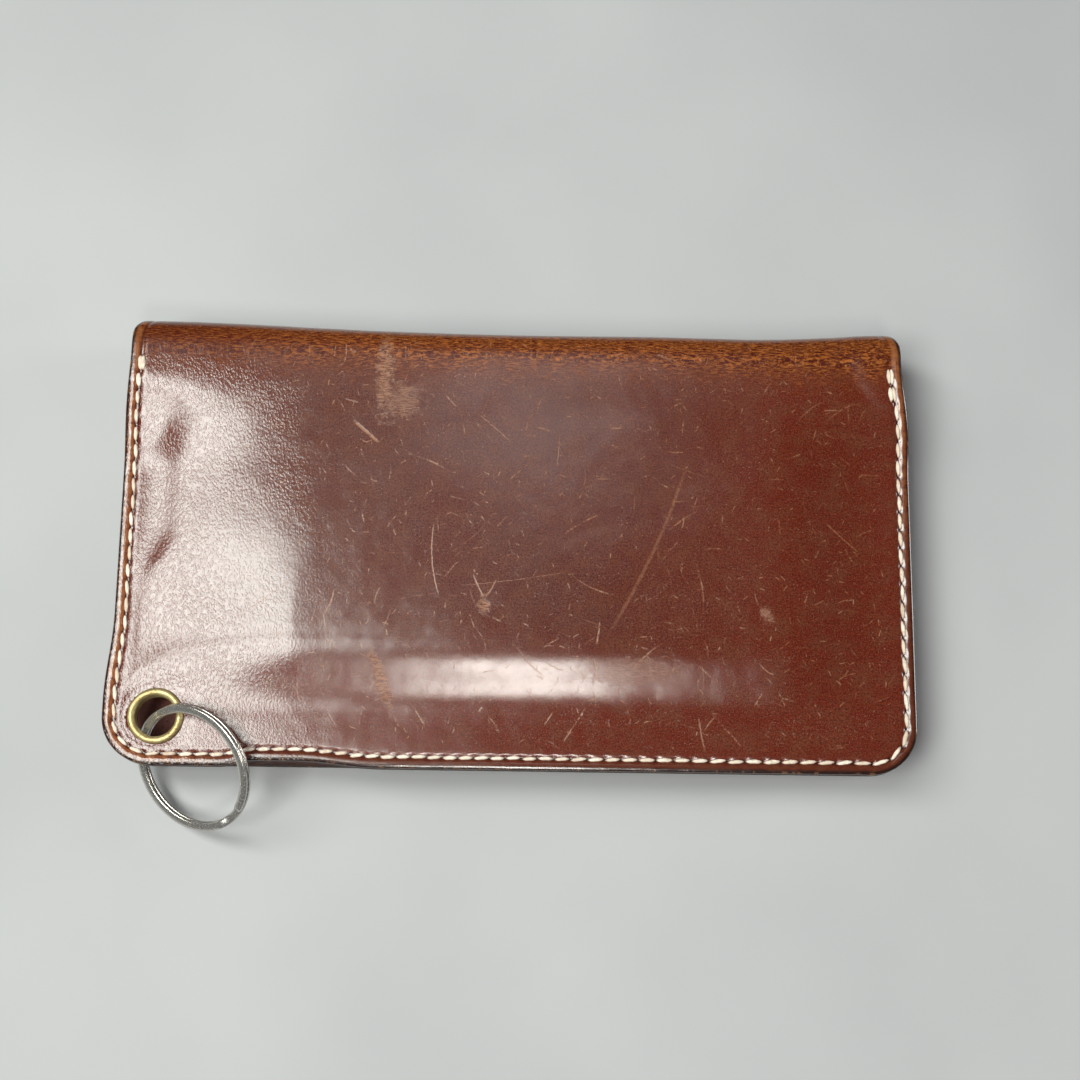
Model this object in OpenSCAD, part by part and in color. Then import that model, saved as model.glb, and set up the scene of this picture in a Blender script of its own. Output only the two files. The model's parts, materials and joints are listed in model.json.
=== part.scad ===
// Long bifold leather wallet with a corner eyelet and a split ring for a chain.
// It lies closed on its back leaf. All lengths are in millimetres.
// X runs along the fold, Y from the opening edge to the fold, Z up through the stack.
// The origin is the middle of the resting face of the back leaf.

/* [Body] */
// Length along the fold
leaf_length = 180; // [150:1:200]
// Distance of the opening edge from the origin
edge_y = 52; // [45:0.5:60]
// Radius of the two corners at the opening edge
corner_radius = 11; // [3:0.5:15]
// Thickness of the outer leather
leather = 1.8; // [1.2:0.1:2.5]
// Thickness of the lining leather
lining = 0.9; // [0.6:0.1:1.4]
// Thickness of the pocket leather
pocket = 0.8; // [0.5:0.1:1.2]
// Height of the closed wallet at the middle of the front leaf
stack_height = 21; // [16:0.5:26]
// Height of the stitched border of the front leaf
border_top = 16.8; // [13:0.1:20]

/* [Fold] */
// Inner face of the fold strip
fold_y = 50.2; // [45:0.1:55]
// Y of the two bending lines of the fold
pivot_y = 50; // [45:0.1:55]
// Distance of each bending line from the outer face
pivot_depth = 2; // [1:0.1:3]

/* [Card side] */
// Edge between the two pocket columns
column_x = -2; // [-30:1:30]
// Y of the open edge of the slip pocket and the rear card pocket
tier_edge = 22; // [10:1:30]
// Step from one card pocket to the next
tier_step = 14; // [8:1:20]

/* [Coin side] */
// Left edge of the zip panel
panel_left = -60; // [-70:1:-50]
// Outer face of the sunk middle of the zip panel
panel_face = 10.6; // [9:0.1:12]
// Y of the middle of the zip
zip_y = 30; // [25:0.5:34]
// Left end of the zip window
window_left = -48; // [-55:1:-30]
// Right end of the zip window
window_right = 78; // [60:1:80]
// Width of the zip window
window_width = 9; // [7:0.5:11]
// Distance between teeth of one row
tooth_pitch = 2.5; // [2:0.1:3]
// Height of the middle plane of the teeth
zip_z = 11.75; // [11:0.05:12.5]

/* [Eyelet and ring] */
// X of the eyelet
eyelet_x = -79.3; // [-84:0.1:-70]
// Y of the eyelet
eyelet_y = -41; // [-46:0.1:-35]
// Radius of the hole in the eyelet
eyelet_hole = 4.5; // [3:0.1:6]
// Outer radius of the eyelet's flange
eyelet_flange = 6.2; // [5:0.1:8]
// Mean radius of the split ring
ring_radius = 13.9; // [10:0.1:18]
// Width of the ring wire in the plane of the ring
ring_wire = 1.9; // [1.2:0.1:2.5]
// Thickness of one of the two coils
coil = 0.98; // [0.6:0.02:1.3]
// Gap between the two coils
coil_gap = 0.06; // [0.02:0.02:0.2]
// Direction from the eyelet to the middle of the ring
ring_heading = -52.6; // [-90:0.1:0]
// Dip of that direction below level
ring_dip = 5; // [0:0.5:15]
// Slope of the wire through the eyelet
ring_slope = 40; // [30:1:55]

/* [Thread] */
// Distance of the border seam from the edge
seam_inset = 2.8; // [2:0.1:4]
// Distance between stitches
stitch_pitch = 3.66; // [2.5:0.01:5]
// Length of a stitch
stitch_length = 3; // [2:0.1:4]
// Width of a stitch
stitch_width = 1; // [0.6:0.1:1.4]
// Y where the border seam starts and ends
seam_top = 41; // [35:0.5:43]

/* [Hidden] */
$fn = 48;
half = leaf_length / 2;
border_bottom = border_top - leather;
lining_bottom = border_bottom - lining;
leaf_end = pivot_y - 0.2;
inner_end = 43;
back_top = leather + lining;
panel_rest = lining_bottom - lining;
groove = 0.3;
seam_x = half - seam_inset;
seam_y = edge_y - seam_inset;
seam_radius = corner_radius - seam_inset;
side_run = seam_top + seam_y - seam_radius;
arc_run = seam_radius * PI / 2;
long_run = 2 * (seam_x - seam_radius);
seam_run = 2 * side_run + 2 * arc_run + long_run;
seam_count = floor(seam_run / stitch_pitch);
tape_z = zip_z - 0.25;
row_gap = 0.5;
row_depth = 2.3;
tooth_count = floor((window_right - window_left - 8) / tooth_pitch);
slider_x = window_right - 10;
eyelet_z = (border_top + lining_bottom) / 2;
brass = [0.66, 0.5, 0.3];
steel = [0.72, 0.72, 0.74];
hide = [0.24, 0.08, 0.08];
inside = [0.32, 0.13, 0.1];
thread = [0.86, 0.82, 0.74];

// A leaf shape with round corners at the opening edge, shrunk by inset.
module leaf_shape(inset, top) {
    r = corner_radius - inset;
    x = half - inset;
    y = edge_y - inset;
    translate([-x, -y + r]) square([2 * x, top + y - r]);
    translate([-x + r, -y]) square([2 * (x - r), r + 1]);
    for (side = [-1, 1])
        translate([side * (x - r), -y + r]) circle(r);
}

// The part of a leaf shape between two X values.
module leaf_part(left, right, top) {
    intersection() {
        leaf_shape(0, top);
        translate([left, -edge_y - 1]) square([right - left, edge_y + top + 2]);
    }
}

module plate(z, thickness) {
    translate([0, 0, z]) linear_extrude(thickness) children();
}

// The line of the border seam as a groove 1.4 wide.
module seam_line() {
    difference() {
        leaf_shape(seam_inset - 0.7, seam_top + 1.5);
        leaf_shape(seam_inset + 0.7, seam_top + 3);
    }
}

// Place and direction of the border seam at a distance along it.
function seam_place(s) =
    s < side_run
        ? [-seam_x, seam_top - s, -90]
    : s < side_run + arc_run
        ? let (a = 180 + (s - side_run) / arc_run * 90)
            [-seam_x + seam_radius + seam_radius * cos(a), -seam_y + seam_radius + seam_radius * sin(a), a + 90]
    : s < side_run + arc_run + long_run
        ? [-seam_x + seam_radius + s - side_run - arc_run, -seam_y, 0]
    : s < side_run + 2 * arc_run + long_run
        ? let (a = 270 + (s - side_run - arc_run - long_run) / arc_run * 90)
            [seam_x - seam_radius + seam_radius * cos(a), -seam_y + seam_radius + seam_radius * sin(a), a + 90]
    : [seam_x, -seam_y + seam_radius + s - side_run - 2 * arc_run - long_run, 90];

// One stitch, lying on z = 0.
module stitch(height) {
    l = stitch_length / 2;
    w = stitch_width / 2;
    linear_extrude(height)
        polygon([[-l, 0], [-l / 2, -w], [l / 2, -w], [l, 0], [l / 2, w], [-l / 2, w]]);
}

// Stitches of a straight seam from one point to another at one height.
module straight_seam(x1, y1, x2, y2, z, height) {
    run = norm([x2 - x1, y2 - y1]);
    count = floor(run / stitch_pitch);
    turn = atan2(y2 - y1, x2 - x1);
    for (i = [0 : count - 1]) {
        t = (i + 0.5) / count;
        translate([x1 + (x2 - x1) * t, y1 + (y2 - y1) * t, z]) rotate(turn) stitch(height);
    }
}

module eyelet_bore() {
    translate([eyelet_x, eyelet_y, 5]) cylinder(h = 20, r = eyelet_hole + 0.6);
}

// Outer leather of the back leaf.
module shell_back() {
    color(hide) difference() {
        plate(0, leather) leaf_shape(0, leaf_end);
        plate(-1, 1 + 0.55) seam_line();
    }
}

// Outer leather of the fold.
module shell_spine() {
    low = pivot_depth + 0.1;
    color(hide) translate([-half, fold_y, low])
        cube([leaf_length, edge_y - fold_y, stack_height - 2 * low]);
}

// Solid between the border height and the flat top, for the two skins of the front leather.
module swell(drop, shrink) {
    hull() {
        plate(border_bottom - 0.1 - drop, 0.1)
            translate([-83 + shrink, -40 + shrink]) square([166 - 2 * shrink, 40 - shrink + leaf_end]);
        plate(stack_height - 0.1 - drop, 0.1)
            translate([-60 + shrink, -26 + shrink]) square([126 - 2 * shrink, 26 - shrink + leaf_end]);
    }
}

// Outer leather of the front leaf, raised in the middle over the note pocket.
module shell_front() {
    color(hide) difference() {
        union() {
            plate(border_bottom, leather) leaf_shape(0, leaf_end);
            intersection() {
                swell(0, 0);
                plate(border_bottom, 20) square([300, 300], center = true);
            }
        }
        intersection() {
            translate([0, 1, 0]) swell(leather, 0.5);
            plate(border_bottom - 1, 20) square([300, 300], center = true);
        }
        plate(border_top - groove, 1) seam_line();
        eyelet_bore();
    }
}

// Wall between the back leather and the pockets of the card side.
module back_lining() {
    color(inside) plate(leather, lining) leaf_shape(0, inner_end);
}

// Flat pocket left of the card pockets.
module slip_pocket() {
    color(inside) plate(back_top, pocket) leaf_part(-half, column_x, tier_edge);
}

module card_pocket(level) {
    top = tier_edge - level * tier_step;
    color(inside) plate(back_top + level * pocket, pocket) leaf_part(column_x, half, top);
}

module card_pocket_rear() {
    card_pocket(0);
}

module card_pocket_middle() {
    card_pocket(1);
}

module card_pocket_front() {
    card_pocket(2);
}

// Wall between the note pocket and the coin pocket.
module front_lining() {
    color(inside) difference() {
        plate(lining_bottom, lining) leaf_shape(0, inner_end);
        eyelet_bore();
    }
}

// Front of the coin pocket, sunk in the middle to make room for the zip.
module zip_panel() {
    color(inside) difference() {
        union() {
            plate(panel_rest, lining) leaf_part(panel_left, half, inner_end - 1);
            translate([panel_left + 5, -42, panel_face]) cube([139, 81.5, lining_bottom - panel_face]);
        }
        translate([panel_left + 5 + lining, -42 + lining, panel_face + lining])
            cube([139 - 2 * lining, 81.5 - 2 * lining, 10]);
        translate([window_left, zip_y - window_width / 2, 5])
            cube([window_right - window_left, window_width, 8]);
    }
}

// One half of the zip's cloth tape. side is 1 towards the fold and -1 away from it.
module zip_tape(side) {
    inner = row_gap + row_depth;
    low = side > 0 ? zip_y + inner : zip_y - inner - 5.6;
    color([0.1, 0.08, 0.08]) translate([window_left - 4, low, tape_z])
        cube([window_right - window_left + 8, 5.6, 0.5]);
}

module zip_tape_upper() {
    zip_tape(1);
}

module zip_tape_lower() {
    zip_tape(-1);
}

module zip_teeth(side) {
    low = side > 0 ? zip_y + row_gap : zip_y - row_gap - row_depth;
    shift = side > 0 ? 0 : tooth_pitch / 2;
    color(brass) for (i = [0 : tooth_count - 1])
        translate([window_left + 3.2 + shift + i * tooth_pitch, low, zip_z - 0.8])
            cube([1.3, row_depth, 1.6]);
}

module zip_teeth_upper() {
    zip_teeth(1);
}

module zip_teeth_lower() {
    zip_teeth(-1);
}

// Stop beyond the teeth where the slider rests when the zip is closed.
module zip_stop_closed() {
    color(brass) for (side = [-1, 1])
        translate([window_right - 3, zip_y + side * 1.65 - 1.15, zip_z - 0.9]) cube([2.4, 2.3, 1.8]);
}

// Stop at the other end, which holds both halves of the tape together.
module zip_stop_open() {
    color(brass) translate([window_left + 0.6, zip_y - 2.8, zip_z - 0.9]) cube([1.8, 5.6, 1.8]);
}

// Slider: two plates with low side walls round the teeth, a divider and a loop for the pull.
module zip_slider() {
    low = zip_z - 1.1;
    high = zip_z + 1.1;
    color(brass) translate([slider_x, zip_y, 0]) {
        translate([0, 0, low - 0.8]) slider_plate(0.8);
        translate([0, 0, high]) slider_plate(0.8);
        for (side = [-1, 1]) {
            translate([-3.5, side * 3.5 - 0.4, low]) cube([7, 0.8, 0.55]);
            translate([-3.5, side * 3.5 - 0.4, high - 0.55]) cube([7, 0.8, 0.55]);
        }
        translate([1, -0.2, low]) cube([3.2, 0.4, high - low]);
        for (end = [-1, 1])
            translate([end * 2.2 - 0.4, -0.7, low - 3.2]) cube([0.8, 1.4, 2.4]);
        translate([-2.6, -0.7, low - 3.9]) cube([5.2, 1.4, 0.7]);
    }
}

module slider_plate(height) {
    linear_extrude(height) {
        translate([-4, -3.9]) square([6, 7.8]);
        translate([2, 0]) circle(3.9);
    }
}

// Pull: an eye round the slider's loop and a flat tab.
module zip_pull() {
    axle_z = zip_z - 1.1 - 0.8 - 1.35;
    color(brass) translate([slider_x, zip_y, axle_z]) {
        rotate([90, 0, 0]) cylinder(h = 4.6, r = 0.5, center = true);
        for (side = [-1, 1])
            translate([-4.5, side * 1.75 - 0.55, -0.5]) cube([4.5, 1.1, 1]);
        difference() {
            translate([-11, -2.3, -0.5]) cube([7.4, 4.6, 1]);
            translate([-9, 0, -2]) cylinder(h = 4, r = 1.2);
        }
        translate([-11, 0, -0.5]) cylinder(h = 1, r = 2.3);
    }
}

// Brass eyelet: a rounded flange on the front leather and a tube down through the leaf.
module eyelet_barrel() {
    low = lining_bottom - 0.7;
    color(brass) translate([eyelet_x, eyelet_y, 0]) {
        rotate_extrude() {
            translate([eyelet_hole, low + 0.3]) square([0.6, border_top - low - 0.3]);
            intersection() {
                translate([(eyelet_hole + eyelet_flange) / 2, border_top]) circle(0.85);
                translate([0, border_top]) square([20, 5]);
            }
        }
    }
}

// Brass washer under the leaf that the tube is rolled over.
module eyelet_washer() {
    color(brass) translate([eyelet_x, eyelet_y, 0])
        rotate_extrude()
            intersection() {
                translate([(eyelet_hole + 0.6 + eyelet_flange) / 2, lining_bottom]) circle(0.55);
                translate([0, 0]) square([20, lining_bottom]);
            }
}

// Split ring of two coils of flat wire with rounded sides, held at an angle by the eyelet.
module split_ring() {
    color(steel) translate([eyelet_x, eyelet_y, eyelet_z])
        rotate([0, 0, ring_heading])
            rotate([0, ring_dip, 0])
                rotate([ring_slope, 0, 0])
                    translate([ring_radius, 0, 0])
                        coils();
}

// The two coils lie just apart, and the wire steps from the lower one to the upper one.
module coils() {
    gap = 14;
    start = 2;
    lift = (coil + coil_gap) / 2;
    step_run = ring_radius * gap * PI / 180;
    rotate([0, 0, start]) rotate_extrude(angle = 360 - gap) wire(-lift);
    rotate([0, 0, start + gap]) rotate_extrude(angle = 360 - 2 * gap) wire(lift);
    rotate([0, 0, start - gap / 2])
        translate([ring_radius - 0.02, 0, 0])
            rotate([-atan(2 * lift / step_run), 0, 0])
                cube([ring_wire - 0.2, step_run + 0.3, coil - 0.1], center = true);
}

// Section of the wire: a flat bar with cut corners.
module wire(height) {
    w = ring_wire / 2;
    h = coil / 2;
    c = 0.28;
    translate([ring_radius, height])
        polygon([[-w, c - h], [c - w, -h], [w - c, -h], [w, c - h],
            [w, h - c], [w - c, h], [c - w, h], [-w, h - c]]);
}

// Border seam of the front leaf: stitches in the groove and on the inner side.
module seam_front() {
    color(thread) for (i = [0 : seam_count - 1]) {
        p = seam_place((i + 0.5) * seam_run / seam_count);
        under = p[0] < panel_left ? lining_bottom : panel_rest;
        translate([p[0], p[1], border_top - groove]) rotate(p[2]) stitch(0.7);
        translate([p[0], p[1], under - 0.4]) rotate(p[2]) stitch(0.4);
    }
}

// Height of the card side at a place on its border.
function card_top(x, y) =
    x < column_x
        ? back_top + (y < tier_edge ? pocket : 0)
        : back_top + pocket * (y < tier_edge - 2 * tier_step ? 3
            : y < tier_edge - tier_step ? 2 : y < tier_edge ? 1 : 0);

// Border seam of the back leaf: stitches in the groove and on the inner side.
module seam_back() {
    color(thread) for (i = [0 : seam_count - 1]) {
        p = seam_place((i + 0.5) * seam_run / seam_count);
        top = max(card_top(p[0] - 1.6, p[1] - 1.6), card_top(p[0] + 1.6, p[1] - 1.6));
        translate([p[0], p[1], 0.05]) rotate(p[2]) stitch(0.5);
        translate([p[0], p[1], top]) rotate(p[2]) stitch(0.4);
    }
}

// Seam between the slip pocket and the card pockets.
module seam_divider() {
    color(thread) {
        straight_seam(column_x + 2.2, -44, column_x + 2.2, -8, back_top + 3 * pocket, 0.4);
        straight_seam(column_x - 2.2, -44, column_x - 2.2, 20, back_top + pocket, 0.4);
    }
}

// Seam that closes the coin pocket at its left end.
module seam_coin_end() {
    color(thread) straight_seam(panel_left + 2.2, -44, panel_left + 2.2, 40, panel_rest - 0.4, 0.4);
}

module seam_zip(side) {
    y = zip_y + side * (window_width / 2 + 1.8);
    color(thread) straight_seam(window_left, y, window_right, y, panel_face - 0.4, 0.4);
}

module seam_zip_upper() {
    seam_zip(1);
}

module seam_zip_lower() {
    seam_zip(-1);
}

shell_back();
shell_spine();
shell_front();
back_lining();
slip_pocket();
card_pocket_rear();
card_pocket_middle();
card_pocket_front();
front_lining();
zip_panel();
zip_tape_upper();
zip_tape_lower();
zip_teeth_upper();
zip_teeth_lower();
zip_stop_closed();
zip_stop_open();
zip_slider();
zip_pull();
eyelet_barrel();
eyelet_washer();
split_ring();
seam_front();
seam_back();
seam_divider();
seam_coin_end();
seam_zip_upper();
seam_zip_lower();
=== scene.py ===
import math
import bmesh
import bpy
import numpy as np
from mathutils import Matrix, Vector
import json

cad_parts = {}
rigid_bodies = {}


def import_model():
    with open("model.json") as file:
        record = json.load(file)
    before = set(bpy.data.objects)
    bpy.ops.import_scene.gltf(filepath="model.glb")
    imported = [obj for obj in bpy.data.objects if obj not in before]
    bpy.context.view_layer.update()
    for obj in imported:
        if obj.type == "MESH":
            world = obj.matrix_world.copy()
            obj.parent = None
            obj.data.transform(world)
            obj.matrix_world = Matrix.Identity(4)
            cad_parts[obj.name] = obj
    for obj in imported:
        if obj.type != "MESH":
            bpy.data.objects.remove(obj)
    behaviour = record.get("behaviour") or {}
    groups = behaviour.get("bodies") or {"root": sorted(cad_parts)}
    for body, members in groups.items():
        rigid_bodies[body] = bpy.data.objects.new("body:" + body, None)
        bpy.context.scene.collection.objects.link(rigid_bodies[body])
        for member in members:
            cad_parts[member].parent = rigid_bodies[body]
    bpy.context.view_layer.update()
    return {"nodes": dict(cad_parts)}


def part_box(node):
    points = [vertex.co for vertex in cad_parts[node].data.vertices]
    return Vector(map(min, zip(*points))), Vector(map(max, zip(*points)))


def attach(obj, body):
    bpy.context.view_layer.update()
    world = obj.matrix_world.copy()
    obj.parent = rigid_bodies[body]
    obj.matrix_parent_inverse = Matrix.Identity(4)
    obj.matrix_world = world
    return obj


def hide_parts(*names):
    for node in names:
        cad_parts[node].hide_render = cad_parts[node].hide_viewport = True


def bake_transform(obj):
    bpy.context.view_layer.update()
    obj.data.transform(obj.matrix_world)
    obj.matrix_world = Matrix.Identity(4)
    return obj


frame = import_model()

# Lengths below are in millimetres, and mesh_object() turns them into metres.
# X runs along the fold, Y from the opening edge to the fold, Z up.
MM = 0.001
rng = np.random.default_rng(7)


def box_mm(node):
    low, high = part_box(node)
    return np.array(low) / MM, np.array(high) / MM


# ---------------------------------------------------------------- driving sizes
front_low, front_high = box_mm("shell_front")
lining_low, lining_high = box_mm("front_lining")
panel_low, panel_high = box_mm("zip_panel")
HALF = front_high[0]
EDGE = -front_low[1]
APEX = box_mm("shell_spine")[1][1]
TOP = front_high[2]
LEATHER = box_mm("shell_back")[1][2]
BORDER = front_low[2] + LEATHER
CORNER = 11.0  # radius of the round corners
FOLD_R = TOP / 2
FOLD_Y = APEX - FOLD_R
FOLD_ARC = FOLD_R * math.pi / 2
FLAT_RUN = FOLD_Y + EDGE
FOLD_POWER = 0.56  # below 1, so that the fold is squarer than a half circle
eyelet_low, eyelet_high = box_mm("eyelet_barrel")
EYELET_X, EYELET_Y = (eyelet_low + eyelet_high)[:2] / 2
SEAM_INSET = 2.8
SEAM_TOP = 41.0  # where the border seam ends, short of the fold
RIM = 0.5  # how far the round rim of the thick leather stands out
FLANGE_R = (eyelet_high[0] - eyelet_low[0]) / 2
HOLE_R = 4.5
TUBE = 0.6  # thickness of the eyelet's tube
HOLE_GAP = 0.45  # between the tube and the leather
WINDOW_X = (-48.0, 78.0)
WINDOW_HALF = 4.5
ZIP_Y = (box_mm("zip_tape_upper")[0][1] + box_mm("zip_tape_lower")[1][1]) / 2
TOOTH_PITCH = 2.5
TOOTH_WIDTH = 1.3
slip_high = box_mm("slip_pocket")[1]
TIERS = [box_mm(n) for n in ("card_pocket_rear", "card_pocket_middle", "card_pocket_front")]
lining_top = box_mm("back_lining")[1][2]


# ---------------------------------------------------------------- shape of the leather
def ramp(t):
    """0 below t = 0, 1 above t = 1, smooth between."""
    t = np.clip(t, 0.0, 1.0)
    return t * t * t * (t * (6 * t - 15) + 10)


def shoulder(t, power, start):
    """Rises from 0 at t = 0, steepest before t = start, and levels off at 1 for t = 1."""
    t = np.clip(t, 0.0, 1.0)
    return (1 - (1 - t) ** power) * ramp(t / start)


def waves(x, y, size, phase):
    """Slow uneven waves between about -1 and 1."""
    a = np.sin(x / size + 1.3 * np.sin(y / (1.7 * size) + phase))
    b = np.sin(y / (0.8 * size) - 0.6 * x / size + 2.1 * phase)
    c = np.sin(0.9 * x / size + 1.1 * y / size + 3.7 * phase)
    return (a + b + c) / 3


def corner_vector(x, y):
    """How far a point is past the straight parts of the outline, in X and in -Y."""
    return np.abs(x) - (HALF - CORNER), -y - (EDGE - CORNER)


def border_distance(x, y):
    """Distance inwards from the outline of a leaf, which has no border at the fold."""
    qx, qy = corner_vector(x, y)
    past = np.hypot(np.maximum(qx, 0), np.maximum(qy, 0))
    return CORNER - past - np.minimum(np.maximum(qx, qy), 0)


def leaf_half_width(y, inset):
    """Half the length of a leaf at y, with its round corners."""
    drop = np.clip(-y - (EDGE - CORNER), 0, CORNER - inset)
    return HALF - CORNER + np.sqrt(np.maximum((CORNER - inset) ** 2 - drop**2, 0))


def fit_to_corners(x, y, inset):
    """Moves grid columns near the ends so that the last one follows the outline."""
    keep = HALF - 20
    width = leaf_half_width(y, inset)
    share = (np.abs(x) - keep) / (HALF - inset - keep)
    return np.where(np.abs(x) > keep, np.sign(x) * (keep + share * (width - keep)), x)


def from_eyelet(x, y):
    return np.hypot(x - EYELET_X, y - EYELET_Y)


def swell(x, y):
    """Height of the front leather above its border: flat in the middle, full height at the fold."""
    low = ramp((4 - y) / 20)
    left = shoulder((x + HALF - 3 + 1.5 * low) / (42 - 3 * low), 2.0 - 0.7 * low, 0.32 - 0.16 * low)
    left = left * ramp((from_eyelet(x, y) - 4.5) / 8)
    right = ramp((HALF - x - 5) / 30)
    opening = ramp((y + EDGE - 8.5) / 24)
    fold = ramp((y - 13) / 27)
    return (TOP - BORDER) * (1 - (1 - left * right * opening) * (1 - fold))


def front_top(x, y):
    """Height of the front leaf's outer face."""
    d = border_distance(x, y)
    middle = ramp((d - 3) / 12) * ramp((FOLD_Y - y) / 18)
    soft = 0.22 * waves(x, y, 21.0, 0.4) + 0.1 * waves(x, y, 8.0, 1.9)
    edge_wave = 0.14 * waves(x, y, 13.0, 2.6) * ramp((FOLD_Y - y) / 18)
    roll = 0.45 * np.clip(1 - d / 1.7, 0, 1) ** 2
    along = (x - 78) * 0.64 + (y - 36) * -0.77
    across = (x - 78) * 0.77 + (y - 36) * 0.64
    crease = 0.55 * np.exp(-((along / 7) ** 2) - (across / 2.6) ** 2)
    pressed = 0.25 * np.exp(-(((from_eyelet(x, y) - 6.0) / 1.2) ** 2))
    edge_wave = edge_wave * ramp((from_eyelet(x, y) - 5) / 6)
    return BORDER + swell(x, y) + soft * middle + edge_wave - roll - crease - pressed


def flare(x, y):
    """The front leaf's eyelet corner is pulled outwards by the ring."""
    return -1.5 * ramp((-16 - y) / 24) * ramp((-x - 68) / 26)


def lift(x, y):
    """The front leaf's opening edge curls up beside the ring, and so reaches a little less far."""
    return 1.3 * ramp((x + 66) / 10) * ramp((-28 - x) / 22) * ramp((-38 - y) / 12)


def back_step(y):
    """The back leaf ends a little behind the front leaf's opening edge."""
    return 1.6 * ramp((-20 - y) / 30)


def spread(x):
    """The back leaf reaches a little further than the front one at the end away from the eyelet."""
    return 0.9 * ramp((x - 30) / 60)


def fold_bow(x):
    """How far the fold's outer line is drawn in along the middle of the wallet."""
    return 1.0 + 1.7 * ramp((x + 88) / 70) * ramp((96 - x) / 50) + 0.25 * waves(x, 0 * x, 9.0, 0.8)


def end_pull(x, v):
    """At both ends of the fold the edge of the leather is drawn in."""
    late = 2.6 * ramp((v - FLAT_RUN - 1) / 15)
    early = np.where(x > 0, 1.9, 0.9) * ramp((v - 72) / 26)
    return -np.sign(x) * (late + early) * ramp((np.abs(x) - 70) / 20)


# ---------------------------------------------------------------- seams
def seam_pitch(x, y):
    """Hand sewn: close stitches near the eyelet and longer ones towards the other end."""
    if y > -EDGE + CORNER:
        return 3.95 if x < 0 else 4.15
    return 3.4 + 0.65 * float(ramp((x + 40) / 110))


def seam_place(s):
    """Place and direction of the border seam at a distance along it."""
    x_line = HALF - SEAM_INSET
    y_line = EDGE - SEAM_INSET
    r = CORNER - SEAM_INSET
    side = SEAM_TOP + y_line - r
    arc = r * math.pi / 2
    long = 2 * (x_line - r)
    if s < side:
        return -x_line, SEAM_TOP - s, -math.pi / 2
    if s < side + arc:
        a = math.pi + (s - side) / r
        return -x_line + r + r * math.cos(a), -y_line + r + r * math.sin(a), a + math.pi / 2
    if s < side + arc + long:
        return -x_line + r + s - side - arc, -y_line, 0.0
    if s < side + 2 * arc + long:
        a = 1.5 * math.pi + (s - side - arc - long) / r
        return x_line - r + r * math.cos(a), -y_line + r + r * math.sin(a), a + math.pi / 2
    return x_line, -y_line + r + s - side - 2 * arc - long, math.pi / 2


def seam_length():
    r = CORNER - SEAM_INSET
    straight = 2 * (SEAM_TOP + EDGE - SEAM_INSET - r) + 2 * (HALF - SEAM_INSET - r)
    return straight + r * math.pi


def border_stitches():
    """(x, y, direction, length) of every stitch of a border seam."""
    found = []
    s = 0.0
    while s < seam_length() - 1.0:
        x, y, turn = seam_place(s)
        pitch = seam_pitch(x, y)
        x, y, turn = seam_place(s + pitch / 2)
        found.append((x, y, turn, pitch))
        s += pitch
    return found


STITCHES = border_stitches()


def stitch_holes():
    """The places where the thread goes through the leather."""
    ends = []
    for x, y, turn, pitch in STITCHES:
        ends.append((x - math.cos(turn) * pitch / 2, y - math.sin(turn) * pitch / 2))
    return np.array(ends)


HOLES = stitch_holes()


def sewn(x, y, groove, hole):
    """How deep the border seam pulls the leather in at each point of a grid."""
    d = border_distance(x, y)
    line = groove * np.exp(-(((d - SEAM_INSET) / 0.75) ** 2)) * ramp((SEAM_TOP + 1.5 - y) / 1.5)
    near = (np.abs(d - SEAM_INSET) < 2) & (y < SEAM_TOP + 2)
    px, py = x[near], y[near]
    nearest = np.full(px.shape, 9.0)
    for hx, hy in HOLES:
        nearest = np.minimum(nearest, np.hypot(px - hx, py - hy))
    line[near] += hole * np.exp(-((nearest / 0.55) ** 2))
    return line


# ---------------------------------------------------------------- meshes
def mesh_object(name, points, faces, attributes=None):
    """A smooth mesh from points in millimetres. attributes is {name: array of numbers or vectors}."""
    mesh = bpy.data.meshes.new(name)
    mesh.from_pydata((np.asarray(points) * MM).tolist(), [], [list(f) for f in faces])
    for key, values in (attributes or {}).items():
        values = np.asarray(values, dtype=np.float32)
        if values.ndim == 2:
            mesh.attributes.new(key, "FLOAT_VECTOR", "POINT").data.foreach_set("vector", values.ravel())
        else:
            mesh.attributes.new(key, "FLOAT", "POINT").data.foreach_set("value", values)
    mesh.shade_smooth()
    obj = bpy.data.objects.new(name, mesh)
    bpy.context.collection.objects.link(obj)
    return obj


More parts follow.
